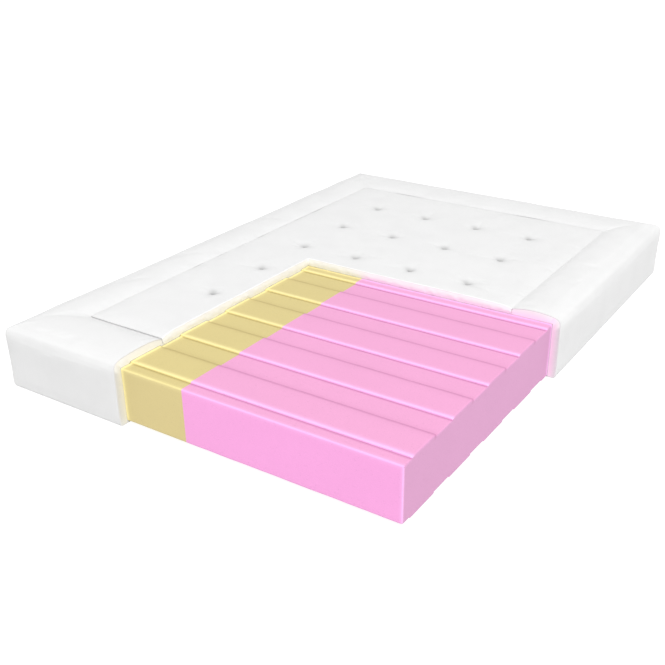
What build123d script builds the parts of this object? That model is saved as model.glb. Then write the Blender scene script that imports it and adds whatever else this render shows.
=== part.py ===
from build123d import *
import os

# Foam mattress for a 140 x 200 cm bed, millimetres.
# Origin: centre of the underside. +X across the width, +Y along the length, +Z up.
# The cover is cut away over the corner at +X, -Y, down to the bare foam core.

# Driving dimensions: outside of the made-up mattress
width = 1400.0
length = 2000.0
height = 212.0
plan_radius = 10.0        # vertical corner edges of the cover
top_edge_radius = 20.0    # soft edge between the side wall and the top border

# Layers of the cover
wall = 28.0               # side wall, all layers
knit = 3.0
lining = 1.5
underside = 3.0

# Foam core: two blocks side by side, with cross channels on both faces
core_thickness = 180.0
block_joint_x = -15.0
pad_pitch = 207.6
pad_width = 121.0
first_pad = 39.0          # from the core's -Y face to the first pad
channel_depth = 5.0
pad_edge_radius = 3.0

# Top: centre panel inside a padded border
panel_width = 1070.0
panel_length = 1600.0
panel_drop = 6.0          # the panel lies this much below the border

# Tufts on the centre panel
tuft_columns = 4
tuft_rows = 5
tuft_pitch_x = 220.0
tuft_pitch_y = 257.0
tuft_centre_y = 48.0
tuft_depth = 10.0
tuft_mouth_radius = 28.0
tuft_floor_radius = 11.0
knot_length = 20.0
knot_radius = 3.0
knot_end_radius = 1.8
tie_radius = 2.0
disc_radius = 12.0
disc_thickness = 1.5

# Cut through the cover
cut_x = -239.0
cut_y = -59.0

# Zip, in a recess across the far wall
zip_height = 50.0
recess = 24.0             # height of the recess in the wall
tape_y = 984.0
tape_thickness = 0.8
tape_length = 1324.0
coil_length = 1296.0
coil_height = 2.4         # of one row of coil, across the zip
coil_depth = 2.6
coil_gap = 1.2            # between the two rows
guard_thickness = 6.5
stop_length = 3.0
slider_length = 12.0
slider_travel = 1280.0
slider_corner_radius = 1.5
flange_thickness = 1.8
plate = 2.0               # slider plates
slider_gap = 0.4          # clearance round the coil and the tape
web = 0.6                 # slider web, in the gap between the rows
web_setback = 1.0         # from the slider's end to the web
bridge_length = 6.8
bridge_width = 4.0
bridge_wire = 1.2
bridge_hole = 2.0
bridge_corner_radius = 1.0
pull_pin_radius = 0.6
pull_arm = 1.2
pull_arm_beyond = 2.2     # from the bridge's end to the tab
pull_length = 28.0
pull_width = 7.4
pull_end_radius = 2.6
pull_grip_hole = 1.6      # radius
grip_hole_inset = 4.0     # from the pull's end to the hole

# Worked out from the above
half_width = width / 2
half_length = length / 2
core_x = half_width - wall
core_y = half_length - wall
core_bottom = underside
core_top = core_bottom + core_thickness
lining_top_z = core_top + lining
panel_x = panel_width / 2
panel_y = panel_length / 2
panel_top = height - panel_drop
beyond = 100.0            # cutting tools reach this far outside the mattress
mitre_reach = 1.2         # the mitre lines run this share of the border's width, past its edge


def block(x_range, y_range, z_range):
    """A box between two limits on each axis."""
    sizes = [high - low for low, high in (x_range, y_range, z_range)]
    middle = [(low + high) / 2 for low, high in (x_range, y_range, z_range)]
    return Pos(*middle) * Box(*sizes)


def write(shape, node):
    shape.label = node
    export_step(shape, f"parts/{node}.step")


def cover_form(inset):
    """The outside of the cover, moved inwards by the inset: rounded corners and a soft top edge."""
    x = half_width - inset
    y = half_length - inset
    form = block((-x, x), (-y, y), (0, height - inset))
    form = fillet(form.edges().filter_by(Axis.Z), plan_radius - inset)
    return fillet(form.faces().sort_by(Axis.Z)[-1].edges(), top_edge_radius - inset)


def side_zone(side):
    """The part of the plan that belongs to one side, between the two mitre lines at its corners."""
    out_x = panel_x + (half_width - panel_x) * mitre_reach
    out_y = panel_y + (half_length - panel_y) * mitre_reach
    corners = {
        "front": [(-out_x, -out_y), (out_x, -out_y), (panel_x, -panel_y), (-panel_x, -panel_y)],
        "back": [(-panel_x, panel_y), (panel_x, panel_y), (out_x, out_y), (-out_x, out_y)],
        "left": [(-out_x, -out_y), (-panel_x, -panel_y), (-panel_x, panel_y), (-out_x, out_y)],
        "right": [(panel_x, -panel_y), (out_x, -out_y), (out_x, out_y), (panel_x, panel_y)],
    }
    return extrude(make_face(Polyline(*corners[side], close=True)), height + beyond)


def core_section():
    """Outline of the core in the YZ plane: a bar with shallow channels across the top and the bottom."""
    middle = (core_bottom + core_top) / 2
    outline = Pos(0, middle) * Rectangle(2 * core_y, core_thickness - 2 * channel_depth)
    start = -core_y + first_pad
    while start < core_y:
        end = min(start + pad_width, core_y)
        outline += Pos((start + end) / 2, middle) * Rectangle(end - start, core_thickness)
        start += pad_pitch
    pad_face = core_thickness / 2 - channel_depth / 2
    pad_corners = [corner for corner in outline.vertices() if abs(corner.Y - middle) > pad_face]
    return fillet(pad_corners, pad_edge_radius)


def core_block(x_range):
    """One foam block: the core's section run across the width."""
    section = Plane.YZ.offset(x_range[0]) * core_section()
    return extrude(section, x_range[1] - x_range[0], dir=(1, 0, 0))


def tuft_places():
    """Tufts of the centre panel that the cut leaves in place."""
    places = []
    for row in range(tuft_rows):
        for column in range(tuft_columns):
            x = (column - (tuft_columns - 1) / 2) * tuft_pitch_x
            y = (row - (tuft_rows - 1) / 2) * tuft_pitch_y + tuft_centre_y
            if x < cut_x or y > cut_y:
                places.append((x, y))
    return places


def dimples(top):
    """Cones that sink the panel's surface round each tuft, from the height given."""
    cone = Cone(tuft_floor_radius, tuft_mouth_radius, tuft_depth)
    return [Pos(x, y, top - tuft_depth / 2) * cone for x, y in tuft_places()]


# ---- Foam core
write(core_block((-core_x, block_joint_x)), "foam_core_firm")
write(core_block((block_joint_x, core_x)), "foam_core_soft")

# ---- Cover: what is taken away at the corner, and the centre panel's place
cut = block((cut_x, half_width + beyond), (-half_length - beyond, cut_y), (-beyond, height + beyond))
panel_place = block((-panel_x, panel_x), (-panel_y, panel_y), (lining_top_z, height + beyond))
lining_x = (-core_x - lining, core_x + lining)
lining_y = (-core_y - lining, core_y + lining)
lining_box = block(lining_x, lining_y, (core_bottom, lining_top_z))
top_sheet = block(lining_x, lining_y, (core_top, lining_top_z))
core_box = block((-core_x, core_x), (-core_y, core_y), (core_bottom, core_top))
under_box = block((-half_width, half_width), (-half_length, half_length), (0, core_bottom))

outside = cover_form(0)
inside_knit = cover_form(knit)
knit_ring = outside - inside_knit - panel_place
wadding_ring = inside_knit - lining_box - under_box - panel_place
side_lining = lining_box - core_box - top_sheet

# ---- Cover: front, left and right sides
for side in ("front", "left", "right"):
    zone = side_zone(side)
    write((knit_ring & zone) - cut, f"knit_{side}")
    write((wadding_ring & zone) - cut, f"wadding_{side}")
    write((side_lining & zone) - cut, f"lining_{side}")

# ---- Cover: the far side, in two parts with the zip's recess between them
back = side_zone("back")
recess_low = zip_height - recess / 2
recess_high = zip_height + recess / 2
all_x = (-half_width - beyond, half_width + beyond)
all_y = (-half_length - beyond, half_length + beyond)
above_zip = block(all_x, all_y, (recess_high, height + beyond))
below_zip = block(all_x, all_y, (-beyond, recess_low))
write(knit_ring & back & above_zip, "knit_back_upper")
write(knit_ring & back & below_zip, "knit_back_lower")
write(wadding_ring & back & above_zip, "wadding_back_upper")
write(wadding_ring & back & below_zip, "wadding_back_lower")
write(side_lining & back, "lining_back")

# ---- Cover: centre panel, lining over the core, underside
panel_form = block((-panel_x, panel_x), (-panel_y, panel_y), (lining_top_z, panel_top)) - cut
padding_block = block((-panel_x, panel_x), (-panel_y, panel_y), (lining_top_z, panel_top - knit)) - cut
padding = padding_block - dimples(panel_top - knit)
write(panel_form - dimples(panel_top) - padding, "knit_top_panel")
write(padding, "wadding_top_panel")
write(top_sheet - cut, "lining_top")
write((inside_knit & under_box) - cut, "bottom_panel")

# ---- Tufts: a knot of thread in each dimple, a tie through the padding, a felt disc underneath
floor_z = panel_top - tuft_depth
knots = []
ties = []
discs = []
for x, y in tuft_places():
    knot = Pos(x, y, floor_z + knot_radius) * Rot(0, 90, 0) * Cylinder(knot_radius, knot_length)
    knots.append(fillet(knot.edges(), knot_end_radius))
    tie_height = floor_z - lining_top_z - disc_thickness
    ties.append(Pos(x, y, floor_z - tie_height / 2) * Cylinder(tie_radius, tie_height))
    discs.append(Pos(x, y, lining_top_z + disc_thickness / 2) * Cylinder(disc_radius, disc_thickness))
write(Compound(knots), "tuft_knots")
write(Compound(ties), "tuft_ties")
write(Compound(discs), "tuft_discs")

# ---- Zip: guard flap, two tapes with a row of coil each, end stops
recess_z = (recess_low, recess_high)
guard_y = (core_y + lining, core_y + lining + guard_thickness)
write(block((-tape_length / 2, tape_length / 2), guard_y, recess_z), "zip_guard")

tape_front = tape_y + tape_thickness
coil_y = (tape_front, tape_front + coil_depth)
row_z = (coil_gap / 2, coil_gap / 2 + coil_height)
for name, way in (("upper", 1), ("lower", -1)):
    tape_z = sorted((zip_height + way * coil_gap / 2, zip_height + way * recess / 2))
    coil_z = sorted(zip_height + way * z for z in row_z)
    write(block((-tape_length / 2, tape_length / 2), (tape_y, tape_front), tape_z), f"zip_tape_{name}")
    write(block((-coil_length / 2, coil_length / 2), coil_y, coil_z), f"zip_coil_{name}")

stop_z = (zip_height - row_z[1], zip_height + row_z[1])
stops = []
for way in (1, -1):
    stop_x = sorted((way * coil_length / 2, way * (coil_length / 2 + stop_length)))
    stops.append(block(stop_x, coil_y, stop_z))
write(Compound(stops), "zip_stops")

# ---- Zip slider: two plates round the coil, flanges outside it, a web in the gap, a bridge for the pull
slider_x = slider_travel / 2
plates_x = (slider_x - slider_length / 2, slider_x + slider_length / 2)
flange_inner = row_z[1] + slider_gap
slider_half = flange_inner + flange_thickness
back_plate_y = (tape_y - slider_gap - plate, tape_y - slider_gap)
front_plate_y = (coil_y[1] + slider_gap, coil_y[1] + slider_gap + plate)
plate_z = (zip_height - slider_half, zip_height + slider_half)
slider = block(plates_x, back_plate_y, plate_z) + block(plates_x, front_plate_y, plate_z)
slider = fillet(slider.edges().filter_by(Axis.Y), slider_corner_radius)
for way in (1, -1):
    flange_z = sorted((zip_height + way * flange_inner, zip_height + way * slider_half))
    flange_x = (plates_x[0] + slider_corner_radius, plates_x[1] - slider_corner_radius)
    slider += block(flange_x, (tape_front + slider_gap, front_plate_y[0]), flange_z)
web_x = (slider_x, plates_x[1] - web_setback)
slider += block(web_x, (back_plate_y[1], front_plate_y[0]), (zip_height - web / 2, zip_height + web / 2))
bridge_x = (slider_x - bridge_length / 2, slider_x + bridge_length / 2)
bridge_z = (zip_height - bridge_width / 2, zip_height + bridge_width / 2)
bridge_y = (front_plate_y[1], front_plate_y[1] + bridge_hole + bridge_wire)
bridge = block(bridge_x, bridge_y, bridge_z)
bridge = fillet(bridge.faces().sort_by(Axis.Y)[-1].edges().filter_by(Axis.Z), bridge_corner_radius)
hole_x = (bridge_x[0] + bridge_wire, bridge_x[1] - bridge_wire)
bridge -= block(hole_x, (bridge_y[0], bridge_y[0] + bridge_hole), bridge_z)
write(slider + bridge, "zip_slider")

# ---- Zip pull: a pin under the bridge, two arms beside it, and a flat tab with a grip hole
pin_y = bridge_y[0] + bridge_hole / 2
pull = Pos(slider_x, pin_y, zip_height) * Cylinder(pull_pin_radius, pull_width)
arm_reach = bridge_length / 2 + pull_arm_beyond
pull_y = (pin_y - pull_pin_radius, pin_y + pull_pin_radius)
for way in (1, -1):
    arm_z = sorted((zip_height + way * (pull_width / 2 - pull_arm), zip_height + way * pull_width / 2))
    pull += block((slider_x - arm_reach, slider_x), pull_y, arm_z)
    pull += Pos(slider_x, pin_y, sum(arm_z) / 2) * Cylinder(pull_pin_radius, pull_arm)
tab_z = (zip_height - pull_width / 2, zip_height + pull_width / 2)
tab = block((slider_x - pull_length, slider_x - arm_reach), pull_y, tab_z)
tab = fillet(tab.faces().sort_by(Axis.X)[0].edges().filter_by(Axis.Y), pull_end_radius)
grip = Pos(slider_x - pull_length + grip_hole_inset, pin_y, zip_height) * Rot(90, 0, 0)
tab -= grip * Cylinder(pull_grip_hole, pull_width)
write(pull + tab, "zip_pull")
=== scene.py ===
import bpy
import bmesh
import math
import numpy as np
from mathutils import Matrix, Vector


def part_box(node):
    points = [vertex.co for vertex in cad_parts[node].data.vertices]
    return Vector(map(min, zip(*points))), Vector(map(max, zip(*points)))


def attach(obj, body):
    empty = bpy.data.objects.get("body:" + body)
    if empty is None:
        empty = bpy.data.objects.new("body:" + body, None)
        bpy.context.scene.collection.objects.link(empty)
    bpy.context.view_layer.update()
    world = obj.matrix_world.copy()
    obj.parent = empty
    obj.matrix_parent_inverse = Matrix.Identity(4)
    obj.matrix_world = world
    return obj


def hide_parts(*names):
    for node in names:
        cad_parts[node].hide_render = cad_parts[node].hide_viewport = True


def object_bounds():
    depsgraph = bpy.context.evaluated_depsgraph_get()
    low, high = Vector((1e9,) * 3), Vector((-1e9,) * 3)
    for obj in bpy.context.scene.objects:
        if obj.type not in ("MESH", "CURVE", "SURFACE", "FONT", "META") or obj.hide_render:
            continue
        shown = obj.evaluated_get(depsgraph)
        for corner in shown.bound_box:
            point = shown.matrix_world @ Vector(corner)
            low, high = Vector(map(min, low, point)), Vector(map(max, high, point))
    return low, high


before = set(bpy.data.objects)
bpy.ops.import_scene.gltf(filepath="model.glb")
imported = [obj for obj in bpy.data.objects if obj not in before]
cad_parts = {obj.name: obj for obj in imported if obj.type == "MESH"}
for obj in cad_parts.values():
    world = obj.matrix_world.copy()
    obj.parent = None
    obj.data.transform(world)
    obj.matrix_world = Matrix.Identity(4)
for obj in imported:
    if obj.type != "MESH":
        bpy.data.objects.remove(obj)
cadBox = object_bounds()

mm = 0.001
lowest, highest = cadBox
halfWidth = highest.x
halfLength = highest.y
fullHeight = highest.z
body = "mattress"
paddingAngle = 60.0       # edges sharper than this stay sharp
roundAngle = 50.0

# Where the cover's layers lie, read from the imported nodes
liningLow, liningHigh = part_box("lining_top")
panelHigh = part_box("knit_top_panel")[1]
coreLow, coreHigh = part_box("foam_core_firm")
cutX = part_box("knit_front")[1].x
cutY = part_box("knit_right")[0].y
wallThick = halfWidth + coreLow.x
liningZ = liningHigh.z
liningThick = liningHigh.z - liningLow.z
panelX = panelHigh.x
panelY = panelHigh.y
borderWidth = halfWidth - panelX
joint = coreHigh.x


def smoothStep(edge0, edge1, x):
    t = np.clip((x - edge0) / (edge1 - edge0), 0.0, 1.0)
    return t * t * (3.0 - 2.0 * t)


def softNoise(points, size, seed, waves=9):
    # a few long sine waves in random directions: smooth, repeatable, from -1 to 1
    rng = np.random.default_rng(seed)
    total = np.zeros(points.shape[:-1])
    for _ in range(waves):
        direction = rng.normal(size=3)
        direction /= np.linalg.norm(direction)
        scale = 2.0 * math.pi / size * rng.uniform(0.6, 1.7)
        total += np.sin(points @ direction * scale + rng.uniform(0, 2.0 * math.pi))
    return total / math.sqrt(waves) / 1.4


def curveThrough(points, count):
    # Catmull-Rom through the points, then even steps along it
    p = np.array(points, float)
    p = np.vstack([2 * p[0] - p[1], p, 2 * p[-1] - p[-2]])
    t = np.linspace(0, 1, 24, endpoint=False)[:, None]
    runs = []
    for a, b, c, d in zip(p[:-3], p[1:-2], p[2:-1], p[3:]):
        runs.append(0.5 * (2 * b + (c - a) * t + (2 * a - 5 * b + 4 * c - d) * t**2
                           + (3 * b - a - 3 * c + d) * t**3))
    return evenly(np.vstack(runs + [p[-2:-1]]), count)


def evenly(line, count):
    steps = np.linalg.norm(np.diff(line, axis=0), axis=1)
    along = np.concatenate([[0], np.cumsum(steps)])
    wanted = np.linspace(0, along[-1], count)
    return np.stack([np.interp(wanted, along, line[:, k]) for k in range(line.shape[1])], axis=1)


def lineNormals(line):
    # to the left of the direction of travel
    run = np.gradient(line, axis=0)
    run /= np.linalg.norm(run, axis=1)[:, None] + 1e-12
    return np.stack([-run[:, 1], run[:, 0]], axis=1)


def gridNormals(grid):
    du = np.gradient(grid, axis=0)
    dv = np.gradient(grid, axis=1)
    n = np.cross(du, dv)
    return n / (np.linalg.norm(n, axis=2)[..., None] + 1e-12)


def gridFaces(rows, columns, start=0, flip=False, closed=False):
    i = np.arange(rows - 1)[:, None]
    j = np.arange(columns if closed else columns - 1)[None, :]
    here, beyond = i * columns, (i + 1) * columns
    j1 = (j + 1) % columns
    quads = np.stack([here + j, here + j1, beyond + j1, beyond + j], axis=-1).reshape(-1, 4) + start
    return quads[:, ::-1] if flip else quads


def makePiece(node, points, faces, material, slot, smoothAngle=40.0):
    # a mesh that stands for one CAD node and stays with the mattress
    name = node + "_piece"
    mesh = bpy.data.meshes.new(name)
    corners = np.asarray(points, float).reshape(-1, 3).tolist()
    mesh.from_pydata(corners, [], [list(map(int, f)) for f in faces])
    work = bmesh.new()
    work.from_mesh(mesh)
    bmesh.ops.remove_doubles(work, verts=work.verts, dist=1e-6)
    bmesh.ops.dissolve_degenerate(work, edges=work.edges, dist=1e-6)
    bmesh.ops.recalc_face_normals(work, faces=work.faces)
    work.to_mesh(mesh)
    work.free()
    mesh.shade_smooth()
    mesh.set_sharp_from_angle(angle=math.radians(smoothAngle))
    obj = bpy.data.objects.new(name, mesh)
    bpy.context.scene.collection.objects.link(obj)
    mesh.materials.append(material)
    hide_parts(node)
    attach(obj, body)
    return obj


def shell(node, outer, inner, material, slot, smoothAngle=40.0):
    # a closed body between two grids of the same size
    rows, columns = outer.shape[:2]
    count = rows * columns
    faces = [gridFaces(rows, columns), gridFaces(rows, columns, count, flip=True)]
    index = np.arange(count).reshape(rows, columns)
    for edge in (index[0], index[-1], index[:, 0], index[:, -1]):
        faces.append(np.stack([edge[:-1], edge[1:], edge[1:] + count, edge[:-1] + count], axis=1))
    points = np.concatenate([outer.reshape(-1, 3), inner.reshape(-1, 3)])
    return makePiece(node, points, np.concatenate(faces), material, slot, smoothAngle)


def setAttribute(obj, name, values):
    layer = obj.data.attributes.new(name, "FLOAT", "POINT")
    layer.data.foreach_set("value", np.asarray(values, np.float32))


def pointsOf(obj):
    co = np.zeros(len(obj.data.vertices) * 3)
    obj.data.vertices.foreach_get("co", co)
    return co.reshape(-1, 3)


# camera, floor and light
cameraLook = {
    "place": (1.541, -2.545, 1.378),
    "tiltDeg": 62.97,
    "turnDeg": 32.44,
    "lens": 50.0,
    "shiftX": -0.036,
    "shiftY": 0.037,
}

studio = {
    "skyStrength": 0.775,
    "floorTone": 0.2,
    "floorGlow": 0.87,
    "floorSize": 40.0,
    "keyStrength": 2.75,
    "keyDistance": 13.0,
    "keyTiltDeg": 35.0,    # from straight above
    "keyTurnDeg": 44.0,    # round from the near end towards the right
    "keySpreadDeg": 28.0,
}


def makeCamera():
    data = bpy.data.cameras.new("camera")
    data.sensor_width = 36.0
    data.lens = cameraLook["lens"]
    data.shift_x = cameraLook["shiftX"]
    data.shift_y = cameraLook["shiftY"]
    data.clip_end = 100.0
    camera = bpy.data.objects.new("camera", data)
    camera.location = cameraLook["place"]
    camera.rotation_euler = (math.radians(cameraLook["tiltDeg"]), 0.0, math.radians(cameraLook["turnDeg"]))
    bpy.context.scene.collection.objects.link(camera)
    bpy.context.scene.camera = camera


class Shade:
    # a socket that takes arithmetic, so that a pattern reads as a formula
    def __init__(self, tree, socket=None):
        self.tree = tree
        self.socket = socket

    def node(self, kind, settings={}, inputs={}, output=0):
        made = self.tree.nodes.new(kind)
        for key, value in settings.items():
            setattr(made, key, value)
        for key, value in inputs.items():
            if isinstance(value, Shade):
                self.tree.links.new(value.socket, made.inputs[key])
            else:
                made.inputs[key].default_value = value
        return Shade(self.tree, made.outputs[output])

    def maths(self, operation, *values):
        return self.node("ShaderNodeMath", {"operation": operation}, dict(enumerate(values)))

    def __add__(self, other):
        return self.maths("ADD", self, other)

    def __radd__(self, other):
        return self.maths("ADD", other, self)

    def __sub__(self, other):
        return self.maths("SUBTRACT", self, other)

    def __rsub__(self, other):
        return self.maths("SUBTRACT", other, self)

    def __mul__(self, other):
        return self.maths("MULTIPLY", self, other)

    def __rmul__(self, other):
        return self.maths("MULTIPLY", other, self)

    def __truediv__(self, other):
        return self.maths("DIVIDE", self, other)

    def __pow__(self, other):
        return self.maths("POWER", self, other)

    def __abs__(self):
        return self.maths("ABSOLUTE", self)

    def __gt__(self, other):
        return self.maths("GREATER_THAN", self, other)

    def sine(self):
        return self.maths("SINE", self)

    def fraction(self):
        return self.maths("FRACT", self)

    def between(self, low, high):
        return self.node("ShaderNodeMapRange", {"interpolation_type": "SMOOTHSTEP"},
                         {"Value": self, "From Min": low, "From Max": high})

    def parts(self):
        sockets = self.node("ShaderNodeSeparateXYZ", {}, {0: self}).socket.node.outputs
        return [Shade(self.tree, socket) for socket in sockets]

    def stretched(self, scale):
        return self.node("ShaderNodeMapping", {}, {"Vector": self, "Scale": scale})

    def noise(self, scale, detail=2.0, rough=0.5):
        return self.node("ShaderNodeTexNoise", {},
                         {"Vector": self, "Scale": scale, "Detail": detail, "Roughness": rough})

    def cells(self, scale):
        return self.node("ShaderNodeTexVoronoi", {}, {"Vector": self, "Scale": scale})

    def painted(self, name):
        # what the mesh carries under that name
        return self.node("ShaderNodeAttribute", {"attribute_name": name}, {}, "Fac")

    def facing(self):
        return self.node("ShaderNodeNewGeometry", {}, {}, "Normal").parts()

    def mixed(self, first, second):
        # two colours, by this mask
        tones = [(*tone, 1.0) if isinstance(tone, tuple) else tone for tone in (first, second)]
        return self.node("ShaderNodeMix", {"data_type": "RGBA"}, {0: self, 6: tones[0], 7: tones[1]}, 2)

    def darkened(self, amount):
        grey = self.node("ShaderNodeCombineColor", {}, {0: amount, 1: amount, 2: amount})
        return self.node("ShaderNodeMix", {"data_type": "RGBA", "blend_type": "MULTIPLY"},
                         {0: 1.0, 6: self, 7: grey}, 2)

    def bump(self, depth):
        return self.node("ShaderNodeBump", {}, {"Height": self, "Distance": depth, "Strength": 1.0})


def newMaterial(name, **fixed):
    # the shader's constants go on its own sockets
    material = bpy.data.materials.new(name)
    material.use_nodes = True
    surface = material.node_tree.nodes["Principled BSDF"]
    for key, value in fixed.items():
        surface.inputs[socketNames[key]].default_value = value
    place = Shade(material.node_tree).node("ShaderNodeTexCoord", {}, {}, "Object")
    return material, surface, place


def feed(surface, **links):
    for key, value in links.items():
        value.tree.links.new(value.socket, surface.inputs[socketNames[key]])


socketNames = {"color": "Base Color", "roughness": "Roughness", "normal": "Normal", "metallic": "Metallic",
               "sheen": "Sheen Weight", "sheenRoughness": "Sheen Roughness", "specular": "Specular IOR Level",
               "ior": "IOR", "glow": "Emission Color", "glowStrength": "Emission Strength"}


def facePlane(place):
    # two coordinates that run along the face, whichever way it looks
    x, y, z = place.parts()
    nx, ny, nz = place.facing()
    flat = abs(nz) > 0.7
    endOn = abs(nx) > 0.7
    across = flat * x + (1 - flat) * (endOn * y + (1 - endOn) * x)
    up = flat * y + (1 - flat) * z
    return across, up


def makeStudio():
    scene = bpy.context.scene
    scene.view_settings.view_transform = "Standard"
    scene.view_settings.look = "None"
    world = bpy.data.worlds.new("studio")
    scene.world = world
    world.use_nodes = True
    world.node_tree.nodes["Background"].inputs["Color"].default_value = (1.0, 1.0, 1.0, 1.0)
    world.node_tree.nodes["Background"].inputs["Strength"].default_value = studio["skyStrength"]

    away = studio["keyDistance"]
    tilt, turn = math.radians(studio["keyTiltDeg"]), math.radians(studio["keyTurnDeg"])
    panel = bpy.data.lights.new("key", "AREA")
    panel.shape = "DISK"
    panel.size = 2 * away * math.tan(math.radians(studio["keySpreadDeg"]) / 2)
    panel.energy = studio["keyStrength"] * math.pi * away ** 2
    lamp = bpy.data.objects.new("key", panel)
    lamp.location = (away * math.sin(tilt) * math.sin(turn), -away * math.sin(tilt) * math.cos(turn),
                     away * math.cos(tilt))
    lamp.rotation_euler = (tilt, 0.0, turn)
    scene.collection.objects.link(lamp)

    half = studio["floorSize"] / 2
    mesh = bpy.data.meshes.new("floor")
    corners = [(-half, -half, 0), (half, -half, 0), (half, half, 0), (-half, half, 0)]
    mesh.from_pydata(corners, [], [(0, 1, 2, 3)])
    floor = bpy.data.objects.new("floor", mesh)
    floor.location.z = lowest.z - 0.0005
    scene.collection.objects.link(floor)
    tone = studio["floorTone"]
    material, _, _ = newMaterial("studioFloor", color=(tone, tone, tone, 1.0), roughness=0.9,
                                 glow=(1.0, 1.0, 1.0, 1.0), glowStrength=studio["floorGlow"])
    mesh.materials.append(material)


knitLook = {
    "tone": (0.663, 0.663, 0.663),
    "shadeTone": (0.633, 0.633, 0.633),
    "tuftShadeTone": (0.37, 0.37, 0.37),      # painted shade inside a tuft
    "cutHighlightTone": (0.80, 0.80, 0.80),      # painted highlight where it is cut
    "loop": 0.0016,       # width of one stitch column
    "rise": 0.0013,       # height of one stitch
    "lean": 0.45,
    "bump": 0.00022,
    "roughness": 0.88,
    "sheen": 0.12,
}


def knitMaterial(name):
    material, surface, place = newMaterial(name, sheen=knitLook["sheen"], sheenRoughness=0.5, specular=0.25)
    across, up = facePlane(place)
    lean = abs((across / knitLook["loop"]).fraction() - 0.5) * 2.0
    stitch = abs((up / knitLook["rise"] + lean * knitLook["lean"]).fraction() - 0.5) * 2.0
    loops = stitch.between(0.05, 0.95) * (1 - lean**4)
    drift = place.noise(9.0, 3.0)
    fluff = place.noise(900.0, 2.0, 0.7)
    mask = drift.between(0.35, 0.75) * 0.6 + (1 - loops) * 0.25
    tone = mask.mixed(knitLook["tone"], knitLook["shadeTone"])
    # painted highlight along the knit's cut edge
    tone = place.painted("cutHighlight").mixed(tone, knitLook["cutHighlightTone"])
    # painted shade: the knit is darkened in the middle of each tuft and in a faint ring about it
    feed(surface,
         color=place.painted("tuftShade").mixed(tone, knitLook["tuftShadeTone"]),
         roughness=knitLook["roughness"] + (drift - 0.5) * 0.08,
         normal=(loops + fluff * 0.5).bump(knitLook["bump"]))
    return material


waddingLook = {
    "tone": (0.59, 0.59, 0.59),
    # painted highlight: the upper part of the cut face is painted paler than the wall below it
    "shadeTone": (0.53, 0.53, 0.53),
    "cutHighlight": (0.80, 0.80, 0.79),
    "firmBounce": (0.80, 0.74, 0.50),    # painted bounce light in the colour of the foam
    "softBounce": (1.0, 0.52, 0.80),
    "fibre": 260.0,
    "clump": 60.0,
    "bump": 0.0006,
}


def waddingMaterial():
    material, surface, place = newMaterial("waddingFibre", roughness=0.95, sheen=0.1)
    fibre = place.stretched((0.35, 0.35, 1.6)).noise(waddingLook["fibre"], 5.0, 0.7)
    clump = place.noise(waddingLook["clump"], 3.0)
    mask = fibre.between(0.3, 0.7) * 0.6 + clump.between(0.4, 0.7) * 0.3
    tone = mask.mixed(waddingLook["tone"], waddingLook["shadeTone"])
    # painted highlight on the upper cut face, and painted bounce light from the firm and soft foam
    for name in ("cutHighlight", "firmBounce", "softBounce"):
        tone = place.painted(name).mixed(tone, waddingLook[name])
    feed(surface, color=tone, normal=(fibre + clump * 0.6).bump(waddingLook["bump"]))
    return material


clothLook = {
    # the lining's grey is its own colour, set darker so that its strip between the cut wall and the foam also
    # reads as a painted shadow line
    "lining": {"tone": (0.58, 0.58, 0.57), "shadeTone": (0.5, 0.5, 0.5), "thread": 0.0009, "bump": 0.00012},
    "tape": {"tone": (0.76, 0.76, 0.76), "shadeTone": (0.62, 0.62, 0.62), "thread": 0.0008, "bump": 0.0002},
    "felt": {"tone": (0.74, 0.74, 0.74), "shadeTone": (0.66, 0.66, 0.66), "thread": 0.0012, "bump": 0.0003},
}


def clothMaterial(kind):
    look = clothLook[kind]
    material, surface, place = newMaterial(kind + "Cloth", roughness=0.9, sheen=0.08)
    across, up = facePlane(place)
    perThread = math.pi / look["thread"]
    weave = (across * perThread).sine() * (up * perThread).sine() * 0.5 + 0.5
    mask = weave * 0.5 + place.noise(30.0, 3.0).between(0.3, 0.7) * 0.4
    feed(surface,
         color=mask.mixed(look["tone"], look["shadeTone"]),
         normal=(weave + place.noise(700.0) * 0.5).bump(look["bump"]))
    return material


foamLook = {
    # painted light: the top, side and front tones stand for how the light falls on faces turned up, sideways
    # and towards the near end; the edge tone is a painted highlight and the tone for creases a painted shade
    "firm": {"top": (0.515, 0.428, 0.180), "side": (0.46, 0.385, 0.17), "front": (0.552, 0.456, 0.204),
             "edge": (0.80, 0.70, 0.32), "creaseShadeTone": (0.36, 0.28, 0.10)},
    "soft": {"top": (0.630, 0.280, 0.470), "side": (0.545, 0.258, 0.440), "front": (0.735, 0.302, 0.585),
             "edge": (0.80, 0.44, 0.75), "creaseShadeTone": (0.45, 0.17, 0.32)},
    "cell": 620.0,        # cells per metre
    "pore": 95.0,         # the odd larger ones
    "bump": 0.00035,
}


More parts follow.
